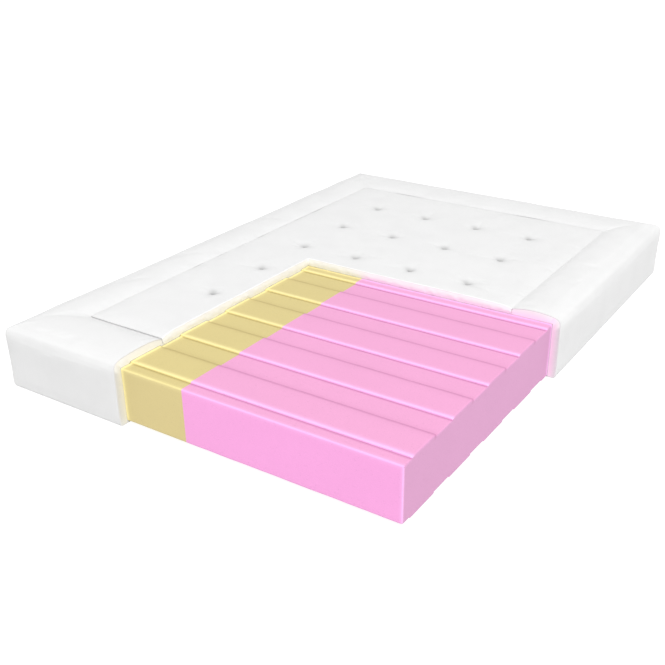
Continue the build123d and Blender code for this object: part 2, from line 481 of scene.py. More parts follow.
def foamMaterial(kind):
    look = foamLook[kind]
    material, surface, place = newMaterial(kind + "Foam", specular=0.3, sheen=0.1, sheenRoughness=0.6)
    cells = place.cells(foamLook["cell"])
    pit = 1 - place.cells(foamLook["pore"]).between(0.06, 0.2)
    grain = place.noise(240.0, 3.0, 0.6)
    drift = place.noise(5.0)
    nx, ny, _ = place.facing()
    # painted light: the tone changes with the way the face is turned, standing for how the light falls on it
    tone = abs(nx).between(0.4, 0.9).mixed(look["top"], look["side"])
    tone = abs(ny).between(0.4, 0.9).mixed(tone, look["front"])
    # painted shade in the creases
    tone = place.painted("creaseShade").mixed(tone, look["creaseShadeTone"])
    # painted highlight on the edges
    tone = place.painted("edgeHighlight").mixed(tone, look["edge"])
    speck = 0.94 + cells * 0.12 + (drift - 0.5) * 0.05 - pit * 0.10
    feed(surface,
         color=tone.darkened(speck),
         roughness=0.82 + grain * 0.12,
         normal=(cells * 0.8 + grain * 0.5 - pit * 1.2).bump(foamLook["bump"]))
    return material


# the thread's grey is its own colour, set dark so that the knot also serves as painted shade in the middle of
# each tuft
threadLook = {"tone": (0.46, 0.46, 0.46), "shadeTone": (0.30, 0.30, 0.30), "twist": 1500.0, "bump": 0.0003}


def threadMaterial():
    material, surface, place = newMaterial("tuftThread", roughness=0.75)
    x, y, z = place.parts()
    ply = ((x + y + z) * threadLook["twist"]).sine() * 0.5 + 0.5
    feed(surface,
         color=ply.mixed(threadLook["shadeTone"], threadLook["tone"]),
         normal=ply.bump(threadLook["bump"]))
    return material


nylonLook = {"tone": (0.74, 0.74, 0.73), "shadeTone": (0.66, 0.66, 0.64), "ior": 1.53}


def nylonMaterial():
    material, surface, place = newMaterial("coilNylon", ior=nylonLook["ior"])
    drift = place.noise(120.0)
    feed(surface, color=drift.mixed(nylonLook["tone"], nylonLook["shadeTone"]), roughness=0.32 + drift * 0.15)
    return material


metalLook = {"tone": (0.72, 0.72, 0.71), "wornTone": (0.58, 0.57, 0.55), "scratch": 900.0, "bump": 0.00002}


def metalMaterial():
    material, surface, place = newMaterial("platedMetal", metallic=1.0)
    scratch = place.stretched((0.05, 1.0, 1.0)).noise(metalLook["scratch"], 4.0, 0.65)
    wear = place.noise(260.0, 3.0).between(0.45, 0.7)
    feed(surface,
         color=(wear * 0.7).mixed(metalLook["tone"], metalLook["wornTone"]),
         roughness=0.18 + scratch * 0.14 + wear * 0.12,
         normal=scratch.bump(metalLook["bump"]))
    return material


def closedSheet(node, top, bottom, keep, material, slot, wallRows=1, bulge=None, smoothAngle=40.0):
    # the kept faces of a grid, its underside, and a wall all round; bulge moves the wall's middle rows
    rows, columns = top.shape[:2]
    keep = np.ones((rows - 1, columns - 1), bool) if keep is None else keep
    count = rows * columns
    quads = gridFaces(rows, columns).reshape(rows - 1, columns - 1, 4)[keep]
    edges = np.concatenate([quads[:, [k, (k + 1) % 4]] for k in range(4)])
    keys = edges[:, 0].astype(np.int64) * count + edges[:, 1]
    rim = edges[~np.isin(keys, edges[:, 1].astype(np.int64) * count + edges[:, 0])]
    rimPoints = np.unique(rim)
    upper = top.reshape(-1, 3)
    under = bottom.reshape(-1, 3)
    points = [upper, under]
    levels = [np.arange(count)]
    total = 2 * count
    for k in range(1, wallRows):
        t = k / wallRows
        row = upper[rimPoints] * (1 - t) + under[rimPoints] * t
        if bulge is not None:
            row = row + bulge(row, t)
        index = np.zeros(count, int)
        index[rimPoints] = total + np.arange(len(rimPoints))
        total += len(rimPoints)
        points.append(row)
        levels.append(index)
    levels.append(np.arange(count) + count)
    faces = [quads, quads[:, ::-1] + count]
    for first, second in zip(levels[:-1], levels[1:]):
        start, end = rim[:, 0], rim[:, 1]
        faces.append(np.stack([first[end], first[start], second[start], second[end]], axis=1))
    faces = np.concatenate(faces)
    used = np.unique(faces)
    index = np.zeros(total, int)
    index[used] = np.arange(len(used))
    return makePiece(node, np.concatenate(points)[used], index[faces], material, slot, smoothAngle)


def linesBetween(stops, step):
    # grid lines through every stop, about one step apart
    runs = [np.linspace(a, b, max(2, int(round((b - a) / step)) + 1)) for a, b in zip(stops[:-1], stops[1:])]
    return np.unique(np.round(np.concatenate(runs), 7))


def outsideCut(xs, ys):
    # the faces of a grid that the cut leaves
    midX = (xs[1:] + xs[:-1]) / 2
    midY = (ys[1:] + ys[:-1]) / 2
    return ~((midX[None, :] > cutX) & (midY[:, None] < cutY))


def areaOf(grid, keep=None):
    a = grid[1:, :-1] - grid[:-1, :-1]
    b = grid[:-1, 1:] - grid[:-1, :-1]
    each = np.linalg.norm(np.cross(a, b), axis=2)
    return float((each if keep is None else each * keep).sum())


clothRun = {"frames": 20, "quality": 6, "stiffness": 12.0, "bending": 0.35, "mass": 0.25}


def relaxCloth(grid, pin, pressure, cap, grow):
    # how far each point moves when the cloth is held at its pins and filled from behind
    rows, columns = grid.shape[:2]
    mesh = bpy.data.meshes.new("clothTest")
    mesh.from_pydata(grid.reshape(-1, 3).tolist(), [], gridFaces(rows, columns).tolist())
    obj = bpy.data.objects.new("clothTest", mesh)
    scene = bpy.context.scene
    scene.collection.objects.link(obj)
    group = obj.vertex_groups.new(name="pin")
    flat = pin.reshape(-1)
    for level in np.unique(np.round(flat, 2)):
        if level > 0:
            group.add(np.nonzero(np.round(flat, 2) == level)[0].tolist(), float(level), "REPLACE")
    cloth = obj.modifiers.new("Cloth", "CLOTH")
    held = cloth.settings
    held.quality = clothRun["quality"]
    held.mass = clothRun["mass"]
    held.tension_stiffness = clothRun["stiffness"]
    held.compression_stiffness = clothRun["stiffness"]
    held.shear_stiffness = clothRun["stiffness"] * 0.3
    held.bending_stiffness = clothRun["bending"]
    held.air_damping = 4.0
    held.vertex_group_mass = "pin"
    held.use_pressure = True
    held.uniform_pressure_force = pressure
    held.shrink_min = -grow
    held.effector_weights.gravity = 0.0
    cloth.collision_settings.use_collision = False
    for step in range(1, clothRun["frames"] + 1):
        scene.frame_set(step)
    settled = obj.evaluated_get(bpy.context.evaluated_depsgraph_get()).to_mesh()
    co = np.zeros(len(settled.vertices) * 3)
    settled.vertices.foreach_get("co", co)
    move = co.reshape(grid.shape) - grid
    scene.frame_set(1)
    bpy.data.objects.remove(obj)
    length = np.linalg.norm(move, axis=2)[..., None] + 1e-9
    return move / length * cap * np.tanh(length / cap)


def resample(field, rowAt, columnAt):
    # smooth values of a coarse grid at fractional rows and columns
    i = np.clip(np.floor(rowAt).astype(int), 0, field.shape[0] - 2)
    j = np.clip(np.floor(columnAt).astype(int), 0, field.shape[1] - 2)
    u = (rowAt - i)[..., None]
    v = (columnAt - j)[..., None]
    u = u * u * (3 - 2 * u)
    v = v * v * (3 - 2 * v)
    return (field[i, j] * (1 - u) * (1 - v) + field[i + 1, j] * u * (1 - v)
            + field[i, j + 1] * (1 - u) * v + field[i + 1, j + 1] * u * v)


# foam cores: two blocks side by side, channels across both faces
foamShape = {
    "firstPad": 0.039,     # from the near face to the first pad
    "padWidth": 0.121,
    "pitch": 0.2076,
    "depth": 0.005,
    "padRound": 0.0028,
    "creaseRound": 0.0012,
    "edgeRound": 0.0055,
    "stepAlong": 0.013,
    "stepAcross": 0.009,
    "uneven": 0.00045,
    "highlightWidth": 0.0045,
}


def arcPoints(cx, cz, radius, start, end, count):
    angle = np.radians(np.linspace(start, end, count))
    return [(cx + radius * math.cos(a), cz + radius * math.sin(a)) for a in angle]


def foamTopLine():
    # (y, height) from the near face to the far face, over every pad
    low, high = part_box("foam_core_firm")
    shape = foamShape
    top, channel = high.z, high.z - shape["depth"]
    r, c, e = shape["padRound"], shape["creaseRound"], shape["edgeRound"]
    line = arcPoints(low.y + e, channel - e, e, 180, 90, 6)
    start = low.y + shape["firstPad"]
    while start < high.y - e:
        end = min(start + shape["padWidth"], high.y)
        line += arcPoints(start - c, channel + c, c, 270, 360, 4)
        line += arcPoints(start + r, top - r, r, 180, 90, 6)
        line += [(start + r + k * 0.0035, top) for k in range(1, 6)]
        if end < high.y - e:
            line += arcPoints(end - r, top - r, r, 90, 0, 6)
            line += arcPoints(end + c, channel + c, c, 180, 270, 4)
            line += [(end + c + k * 0.004, channel) for k in range(1, 6)]
            last = channel
        else:
            last = top
        start += shape["pitch"]
    line += arcPoints(high.y - e, last - e, e, 90, 0, 6)
    line = np.array(line)
    filled = [line[:1]]
    for a, b in zip(line[:-1], line[1:]):
        count = max(1, int(math.ceil(np.linalg.norm(b - a) / shape["stepAcross"])))
        filled.append(a + (b - a) * np.arange(1, count + 1)[:, None] / count)
    return np.concatenate(filled)


def sag(y):
    # how far the lining drops into the foam's channels, eased over the pads' edges
    line = foamTopLine()
    low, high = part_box("foam_core_firm")
    steps = np.arange(low.y, high.y, 0.001)
    level = np.interp(steps, line[:, 0], line[:, 1])
    padded = np.maximum.reduce([np.roll(level, k) for k in range(-2, 3)])
    padded[:9] = padded[9]
    padded[-9:] = padded[-9]
    weights = np.hanning(9)
    eased = np.convolve(np.pad(padded, 4, mode="edge"), weights / weights.sum(), mode="valid")
    return np.interp(y, steps, eased) - high.z


# the cover's sides: border and wall in one, from the seam round the soft edge to the hem
coverLook = {
    # the section from the seam to the hem: (distance in from the wall, height), millimetres
    "section": [(164.7, 190), (164.3, 194.5), (161.5, 199), (154, 203), (134, 208.6), (106, 212),
                (76, 212.2), (48, 210.4), (28, 207.4), (13.5, 203), (5, 196), (1, 184), (0, 160),
                (0, 100), (0.4, 50), (0.9, 18), (2.4, 6), (5.5, 1.5), (12, 0.3)],
    "rows": 96,
    "step": 0.012,        # along the cover
    "arcSteps": 12,       # round a corner
    "knitThick": 0.0026,
    "planRadius": 0.010,  # corners of the wall, of the core, between the two seams, and of the seam
    "innerRadius": 0.006,
    "crownRadius": 0.060,
    "seamRadius": 0.012,
    "seamLift": 0.0125,   # the seam is pulled in less away from the near side
    "seamCurve": 2.2,
    "seamEase": 0.16,
    "hemHeight": 0.0032,
    "ripple": 0.0011,
    "rippleSize": 0.30,
    "rippleFrom": 0.10,   # height at which the ripples are full
    "pressure": 2.5,
    "cap": 0.0028,
    "grow": 0.006,
    "simRows": 3,         # every third row and every second column go into the simulation
    "simColumns": 2,
}


def planHalves(inset):
    # half width and half length of the cover's outline, that far in from the wall
    wide = (inset - wallThick) / (borderWidth - wallThick)
    inX = np.where(inset <= wallThick, inset, wallThick + wide * (halfWidth - wallThick - panelX))
    inY = np.where(inset <= wallThick, inset, wallThick + wide * (halfLength - wallThick - panelY))
    return halfWidth - inX, halfLength - inY


def cornerRadius(inset):
    near = coverLook["planRadius"] + (coverLook["innerRadius"] - coverLook["planRadius"]) * inset / wallThick
    across = np.clip((inset - wallThick) / (borderWidth - wallThick), 0, 1)
    far = coverLook["innerRadius"] + (coverLook["seamRadius"] - coverLook["innerRadius"]) * across
    return np.where(inset <= wallThick, near, far + coverLook["crownRadius"] * np.sin(across * math.pi) ** 2)


def ringPlan(inset):
    # one row of plan points from the front cut round three corners to the right cut, and the corner places
    a, b = (float(v) for v in planHalves(inset))
    r = float(cornerRadius(inset))
    arcSteps = coverLook["arcSteps"]

    def straight(start, end, length, first):
        count = max(2, int(round(length / coverLook["step"])))
        t = np.linspace(0, 1, count + 1)[(0 if first else 1):, None]
        return np.array(start) * (1 - t) + np.array(end) * t

    def arc(cx, cy, start):
        angles = np.radians(np.linspace(start, start - 90.0, arcSteps + 1))[1:]
        return np.stack([cx + r * np.cos(angles), cy + r * np.sin(angles)], axis=1)

    runs = [straight((cutX, -b), (-a + r, -b), halfWidth + cutX, True)]
    mitres = []
    corners = [((-a + r, -b + r), 270.0, (-a, b - r), 2 * halfLength),
               ((-a + r, b - r), 180.0, (a - r, b), 2 * halfWidth),
               ((a - r, b - r), 90.0, (a, cutY), halfLength - cutY)]
    for (cx, cy), start, goal, length in corners:
        mitres.append(sum(len(run) for run in runs) - 1 + arcSteps // 2)
        runs.append(arc(cx, cy, start))
        runs.append(straight(runs[-1][-1], goal, length, False))
    return np.vstack(runs), mitres


def ringGrid(line):
    # a grid of points from a section line of (inset, height), metres
    rows = []
    for inset, z in line:
        plan, mitres = ringPlan(inset)
        rows.append(np.column_stack([plan, np.full(len(plan), z)]))
    return np.array(rows), mitres


def coverSection():
    outer = curveThrough(np.array(coverLook["section"]) * mm, coverLook["rows"])
    inner = outer + lineNormals(outer) * coverLook["knitThick"] * -1
    # the way in is to the left or the right of travel, whichever lies nearer the core
    if inner[len(inner) // 2, 0] < outer[len(outer) // 2, 0]:
        inner = outer + lineNormals(outer) * coverLook["knitThick"]
    return outer, inner


def looseSeam(y):
    return smoothStep(-panelY, -panelY + coverLook["seamEase"], y)


def makeSides(knit, wadding):
    outerLine, innerLine = coverSection()
    outer, mitres = ringGrid(outerLine)
    inner, _ = ringGrid(innerLine)
    normals = gridNormals(outer)
    normals *= np.sign(np.sum((outer - inner) * normals))
    height, size = coverLook["ripple"], coverLook["rippleSize"]
    wave = softNoise(outer, size, 11) * height
    wave += softNoise(outer, size * 0.35, 12) * (height * 0.35)
    # the seam and the wall's foot stay where they are sewn
    fade = smoothStep(0.0, coverLook["rippleFrom"], outer[..., 2])[..., None]
    seamward = smoothStep(0.0, 0.30, np.linspace(0, 1, outer.shape[0]))[:, None, None]
    move = normals * (wave[..., None] - height) * fade * seamward
    # the seam is drawn in tightest along the near side
    crown = np.argmax(outerLine[:, 1])
    depth = np.zeros(len(outerLine))
    depth[:crown] = (outerLine[crown, 1] - outerLine[:crown, 1]) / (outerLine[crown, 1] - outerLine[0, 1])
    lift = coverLook["seamLift"] * depth[:, None] ** coverLook["seamCurve"]
    move[..., 2] += lift * looseSeam(outer[..., 1])
    # the cloth of all four sides, filled by its padding
    rows, columns = outer.shape[:2]
    pickRows = np.unique(np.append(np.arange(0, rows, coverLook["simRows"]), rows - 1))
    pickColumns = np.unique(np.append(np.arange(0, columns, coverLook["simColumns"]), columns - 1))
    coarse = (outer + move)[np.ix_(pickRows, pickColumns)]
    pin = np.zeros(coarse.shape[:2])
    pin[:2] = 1
    pin[-4:] = 1
    pin[:, [0, -1]] = 1
    settled = relaxCloth(coarse, pin, coverLook["pressure"], coverLook["cap"], coverLook["grow"])
    rowAt = np.interp(np.arange(rows), pickRows, np.arange(len(pickRows)))
    columnAt = np.interp(np.arange(columns), pickColumns, np.arange(len(pickColumns)))
    puff = resample(settled, *np.meshgrid(rowAt, columnAt, indexing="ij"))
    move = move + puff * (0.25 + 0.75 * smoothStep(0.02, 0.19, outer[..., 2]))[..., None]
    outer = outer + move
    inner = inner + move

    # the padding's other face lies on the lining
    seam, wallIn = borderWidth - 0.0004, wallThick - liningThick
    corners = [(seam, liningZ), (wallIn, liningZ), (wallIn, coverLook["hemHeight"])]
    back, _ = ringGrid(evenly(np.array(corners), coverLook["rows"]))
    back[..., 2] += np.where(back[..., 2] > liningZ - 0.0001, sag(back[..., 1]), 0)

    ends = [0] + mitres + [outer.shape[1] - 1]
    for side, first, last in zip(("front", "left", "back", "right"), ends[:-1], ends[1:]):
        grids = [grid[:, first:last + 1] for grid in (outer, inner, back)]
        if side == "back":
            makeBack(*grids[:2], knit, wadding)
        else:
            coverPair(side, *grids, knit, wadding)
    print("sides ready")


cutLook = {
    "near": 0.004,        # what counts as the cut face
    "climb": 2.2,         # how fast the painted bounce light in the foam's colour fades up the face
    "firmBounceOver": 0.06,
    "softBounceOver": 0.6,
    "firmBounce": 0.45,
    "softBounce": 0.60,
    "bounceWidth": 0.010,
    "paleFrom": 0.012,    # below the core's top
}


def onCut(p):
    # points on the cut face that looks along X, and on the one that looks along Y
    near = cutLook["near"]
    return ((np.abs(p[:, 0] - cutX) < near) & (p[:, 1] < cutY + near),
            (np.abs(p[:, 1] - cutY) < near) & (p[:, 0] > cutX - near))


def toneCutFaces(pad, top):
    # painted light on the opened padding: its upper part is painted paler, a painted highlight, and it takes
    # painted bounce light in the colour of the foam next to it
    p = pointsOf(pad)
    atX, atY = onCut(p)
    firmSide = smoothStep(joint + 0.03, joint - 0.03, p[:, 0])
    softSide = 1 - firmSide
    bounceOver = np.clip((top - p[:, 2]) / (top - coreHigh.z), 0, 1) ** cutLook["climb"]
    bounceOver *= cutLook["firmBounceOver"] * firmSide + cutLook["softBounceOver"] * softSide
    aside = np.maximum(np.abs(p[:, 0]) + coreLow.x, np.abs(p[:, 1]) + coreLow.y)
    bounce = np.exp(-np.clip(aside, 0, None) / cutLook["bounceWidth"])
    bounce *= cutLook["firmBounce"] * firmSide + cutLook["softBounce"] * softSide
    level = smoothStep(coreHigh.z - cutLook["paleFrom"], coreHigh.z, p[:, 2])
    # painted bounce light: strongest next to the foam, fading up the face above it
    bounceTint = (atX | atY) * np.where(aside > 0.001, bounce, bounceOver * level)
    setAttribute(pad, "cutHighlight", (atX | atY) * level)
    setAttribute(pad, "firmBounce", bounceTint * firmSide)
    setAttribute(pad, "softBounce", bounceTint * softSide)


def coverPair(side, outer, inner, back, knit, wadding):
    # one side's knit and the padding behind it
    piece = shell("knit_" + side, outer, inner, knit, "cover_knit")
    areaOf(outer)
    pad = shell("wadding_" + side, inner, back, wadding, "wadding", paddingAngle)
    toneCutFaces(pad, fullHeight - 0.003)


curlRows = 9              # where the cloth turns in at the zip


def makeBack(outer, inner, knit, wadding):
    # the far wall above and below the zip; the cloth turns in over the edges of the recess
    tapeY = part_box("zip_tape_upper")[1].y
    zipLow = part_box("knit_back_lower")[1].z
    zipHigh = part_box("wadding_back_upper")[0].z
    heights = outer[:, outer.shape[1] // 2, 2]
    wallRows = np.arange(outer.shape[0]) > outer.shape[0] * 0.4
    for name, keep, edge, way in (
        ("upper", ~(wallRows & (heights < zipHigh + 0.004)), zipHigh, 1),
        ("lower", wallRows & (heights < zipLow - 0.004), zipLow, -1),
    ):
        curl = curlIn(outer[keep], edge, way, tapeY)
        front, behind = joinCurl(outer[keep], inner[keep], curl, way)
        coverPair("back_" + name, front, behind, backGrid(behind, way, edge), knit, wadding)


def curlIn(grid, edge, way, tapeY):
    # rows that round the recess edge and run in to the zip tape
    last = grid[-1] if way > 0 else grid[0]
    rows = []
    depth = last[:, 1] - tapeY
    for k in range(1, curlRows + 1):
        angle = k / curlRows * math.pi / 2
        row = last.copy()
        gap = edge - last[:, 2]
        row[:, 2] = last[:, 2] + gap * math.sin(angle)
        row[:, 1] = last[:, 1] - np.clip(depth, 0.002, None) * (1 - math.cos(angle)) * 0.98
        rows.append(row)
    return np.array(rows)


def joinCurl(outer, inner, curl, way):
    thick = coverLook["knitThick"]
    inside = curl.copy()
    inside[..., 2] += way * thick
    inside[..., 1] = np.minimum(inside[..., 1], inner[-1 if way > 0 else 0][None, :, 1])
    inside[..., 1] -= np.linspace(0.0, 0.0002, len(curl))[:, None]
    if way > 0:
        return np.concatenate([outer, curl]), np.concatenate([inner, inside])
    return np.concatenate([curl[::-1], outer]), np.concatenate([inside[::-1], inner])


def backGrid(inner, way, edge):
    # the padding's inner face, row for row with its outer face
    rows = len(inner)
    seam, wallIn = borderWidth - 0.0004, wallThick - liningThick
    result = np.empty_like(inner)
    if way > 0:
        line = evenly(np.array([(seam, liningZ), (wallIn, liningZ), (wallIn, edge)]), rows)
    else:
        line = evenly(np.array([(wallIn, edge), (wallIn, coverLook["hemHeight"])]), rows)
    for k, (inset, z) in enumerate(line):
        plan, mitres = ringPlan(inset)
        result[k, :, :2] = plan[mitres[1]:mitres[2] + 1]
        result[k, :, 2] = z + (sag(result[k, :, 1]) if z > liningZ - 0.0001 else 0)
    return result


# the centre panel: tufted, sewn to the border all round, open at the cut
panelLook = {
    "seamZ": 0.2005,
    "seamLift": 0.0020,
    "topZ": 0.2072,
    "rise": 0.070,         # how far in from the seam the panel reaches its height
    "step": 0.0062,
    "knitThick": 0.0026,
    "edgeRound": 0.0045,   # the cut edge of the knit, pressed down and rounded
    "tuftDepth": 0.0102,
    "tuftNeck": 0.0125,
    "tuftReach": 0.020,
    "pucker": 0.0012,
    "puckerReach": 0.050,
    "ripple": 0.0007,
    "rippleSize": 0.16,
    "pull": 0.012,         # how far in from the cut the cloth shifts
    "slack": 0.0009,
    "fuzz": 0.0003,
    "cutHighlightWidth": 0.0025,   # painted highlight line along the cut edge
    "tuftShadeWidth": 0.0150,   # painted shade in the middle of a tuft, and the faint painted shade ring about it
    "tuftShadeRingWidth": 0.034,
    "pressure": 3.0,
    "cap": 0.0035,
    "grow": 0.010,
    "simStep": 0.0115,
    "simHold": 0.013,      # round each tuft
}

tuftLook = {
    "columns": 4,
    "rows": 5,
    "knotDrop": 0.0006,
    "arm": 0.0094,         # half the knot's length
    "turns": 2.6,
    "bend": -0.0011,
    "lean": 0.25,          # how far a knot may turn, radians
    "wrapWidth": 0.003,
    "wrapYarn": 0.00055,
    "tie": 0.0019,
    "disc": 0.0118,
}


def tuftPlaces():
    # evenly spaced over the block that the discs' box gives; those in the cut are gone
    low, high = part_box("tuft_discs")
    knotLow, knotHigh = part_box("tuft_knots")
    radius = (high.x - low.x - (knotHigh.x - knotLow.x - 0.020)) / 2
    xs = np.linspace(low.x + radius, high.x - radius, tuftLook["columns"])
    ys = np.linspace(low.y + radius, high.y - radius, tuftLook["rows"])
    return [(x, y) for y in ys for x in xs if x < cutX or y > cutY]


def quiltHeight(x, y):
    # the panel's height before the cloth settles
    edge = np.minimum(panelX - np.abs(x), panelY - np.abs(y))
    seamZ = panelLook["seamZ"] + panelLook["seamLift"] * looseSeam(y)
    z = seamZ + (panelLook["topZ"] - seamZ) * np.sin(np.clip(edge / panelLook["rise"], 0, 1) * math.pi / 2)
    for k, (tx, ty) in enumerate(tuftPlaces()):
        r = np.hypot(x - tx, y - ty)
        angle = np.arctan2(y - ty, x - tx)
        well = 1.0 / (1.0 + (r / panelLook["tuftReach"]) ** 2) ** 1.6
        neck = np.exp(-(r / panelLook["tuftNeck"]) ** 2)
        z = z - panelLook["tuftDepth"] * (0.35 * well + 0.65 * neck)
        # folds run out from the tuft, longest towards its neighbours on the diagonal
        turn = 0.35 * math.sin(k * 2.3)
        folds = np.cos(6 * angle + turn) * 0.5 + np.cos(2 * (angle + 0.68)) * 0.5
        fade = (r / 0.012) * np.exp(-r / panelLook["puckerReach"]) / (1 + (r / 0.012) ** 1.2)
        z = z + panelLook["pucker"] * folds * fade
    return z


def makePanel(knit, wadding):
    simX = linesBetween([-panelX, panelX], panelLook["simStep"])
    simY = linesBetween([-panelY, panelY], panelLook["simStep"])
    gx, gy = np.meshgrid(simX, simY)
    coarse = np.stack([gx, gy, quiltHeight(gx, gy)], axis=2)
    pin = np.zeros(gx.shape)
    pin[[0, -1]] = 1
    pin[:, [0, -1]] = 1
    for tx, ty in tuftPlaces():
        pin[np.hypot(gx - tx, gy - ty) < panelLook["simHold"]] = 1
    settled = relaxCloth(coarse, pin, panelLook["pressure"], panelLook["cap"], panelLook["grow"])

    near = np.array([0.0008, 0.0022, 0.0042, 0.0070])
    xs = np.unique(np.concatenate([linesBetween([-panelX, cutX, panelX], panelLook["step"]), cutX - near]))
    ys = np.unique(np.concatenate([linesBetween([-panelY, cutY, panelY], panelLook["step"]), cutY + near]))
    gx, gy = np.meshgrid(xs, ys)
    points = np.stack([gx, gy, quiltHeight(gx, gy)], axis=2)
    points += resample(settled, (gy + panelY) / (2 * panelY) * (len(simY) - 1),
                       (gx + panelX) / (2 * panelX) * (len(simX) - 1))
    points[..., 2] += softNoise(points, panelLook["rippleSize"], 21) * panelLook["ripple"]

    # the cut edge: distance in from the opening, for points that stay
    fromCut = np.maximum(cutX - gx, gy - cutY)
    reach = panelLook["edgeRound"]
    t = np.clip(1 - fromCut / reach, 0, 1)
    points[..., 2] -= reach * 0.5 * (1 - np.sqrt(1 - t ** 2))
    slack = softNoise(points, 0.05, 22) * panelLook["slack"]
    slack += softNoise(points, 0.013, 23) * panelLook["fuzz"]
    pull = smoothStep(panelLook["pull"], 0.0, fromCut)
    pull *= smoothStep(0.0, 0.04, panelX - np.abs(gx)) * smoothStep(0.0, 0.04, panelY - np.abs(gy))
    onX = (cutX - gx >= gy - cutY)
    points[..., 0] += np.where(onX & (gy < cutY), slack * pull, 0)
    points[..., 1] += np.where(~onX | (gx > cutX), slack * pull, 0)
    keep = outsideCut(xs, ys)
    inner = points.copy()
    inner[..., 2] -= panelLook["knitThick"]
    piece = closedSheet("knit_top_panel", points, inner, keep, knit, "cover_knit", 3)
    p = pointsOf(piece)
    # painted shade for each tuft's dimple: dark in the middle, with a faint ring about it
    tuftShade = np.zeros(len(p))
    for k, (tx, ty) in enumerate(tuftPlaces()):
        dx, dy = p[:, 0] - tx, p[:, 1] - ty
        angle = np.arctan2(dy, dx)
        r = np.hypot(dx, dy) / (1 + 0.22 * np.cos(2 * (angle + 0.68)) + 0.12 * np.cos(3 * angle + k))
        middle = 0.85 * np.exp(-(r / panelLook["tuftShadeWidth"]) ** 2)
        tuftShade = np.maximum(tuftShade, middle + 0.12 * np.exp(-(r / panelLook["tuftShadeRingWidth"]) ** 2))
    setAttribute(piece, "tuftShade", tuftShade)
    # painted highlight: a pale line along the knit's cut edge
    highlightX = np.exp(-((p[:, 0] - cutX) / panelLook["cutHighlightWidth"]) ** 2) * (p[:, 1] < cutY + 0.002)
    highlightY = np.exp(-((p[:, 1] - cutY) / panelLook["cutHighlightWidth"]) ** 2) * (p[:, 0] > cutX - 0.002)
    setAttribute(piece, "cutHighlight", np.maximum(highlightX, highlightY))
    areaOf(points, keep)

    base = inner.copy()
    base[..., 2] = liningZ + sag(base[..., 1]) + 0.0001

    def fibres(row, t):
        out = np.zeros_like(row)
        push = math.sin(t * math.pi) * 0.0012
        push = push + softNoise(row, 0.02, 31) * 0.0008 + softNoise(row, 0.006, 32) * 0.0004
        atX, atY = onCut(row)
        out[:, 0] = np.where(atX, push, 0)
        out[:, 1] = np.where(atY, -push, 0)
        return out

    pad = closedSheet("wadding_top_panel", inner, base, keep, wadding, "wadding", 7, fibres, paddingAngle)
    toneCutFaces(pad, panelLook["topZ"] - panelLook["knitThick"])
    print("panel ready")


# tufts: a knot of yarn in each dimple, its tie through the padding, a felt disc beneath
def sweep(path, radius, sides):
    # a closed tube along a path; one radius, or one for each point
    path = np.asarray(path, float)
    run = np.gradient(path, axis=0)
    run /= np.linalg.norm(run, axis=1)[:, None] + 1e-12
    up = np.tile([0.0, 0.0, 1.0], (len(path), 1))
    up[np.abs(run[:, 2]) > 0.9] = [0.0, 1.0, 0.0]
    across = np.cross(run, up)
    across /= np.linalg.norm(across, axis=1)[:, None] + 1e-12
    up = np.cross(across, run)
    angle = np.linspace(0, 2 * math.pi, sides, endpoint=False)
    radius = np.broadcast_to(radius, len(path))[:, None, None]
    ring = across[:, None] * np.cos(angle)[None, :, None] + up[:, None] * np.sin(angle)[None, :, None]
    points = (path[:, None] + ring * radius).reshape(-1, 3)
    faces = gridFaces(len(path), sides, closed=True).tolist()
    faces.append(list(range(sides))[::-1])
    faces.append([(len(path) - 1) * sides + k for k in range(sides)])
    return points, faces


def gather(parts):
    points, faces, start = [], [], 0
    for p, f in parts:
        points.append(p)
        faces += [[k + start for k in face] for face in f]
        start += len(p)
    return np.concatenate(points), faces


def strands(start, end, across, radius, turns, samples, bend=0.0):
    # three yarns twisted round the line from start to end
    start, end = np.array(start), np.array(end)
    t = np.linspace(0, 1, samples)[:, None]
    line = start * (1 - t) + end * t
    run = (end - start) / np.linalg.norm(end - start)
    side = np.cross(run, across)
    parts = []
    for k in range(3):
        angle = 2 * math.pi * (turns * t + k / 3)
        path = line + (np.array(across) * np.cos(angle) + side * np.sin(angle)) * radius * 0.52
        path = path - np.array([0, 0, 1.0]) * bend * (2 * t - 1) ** 2
        thick = radius * 0.55 * (1 - 0.45 * np.abs(2 * t[:, 0] - 1) ** 5)
        parts.append(sweep(path, thick, 7))
    return parts


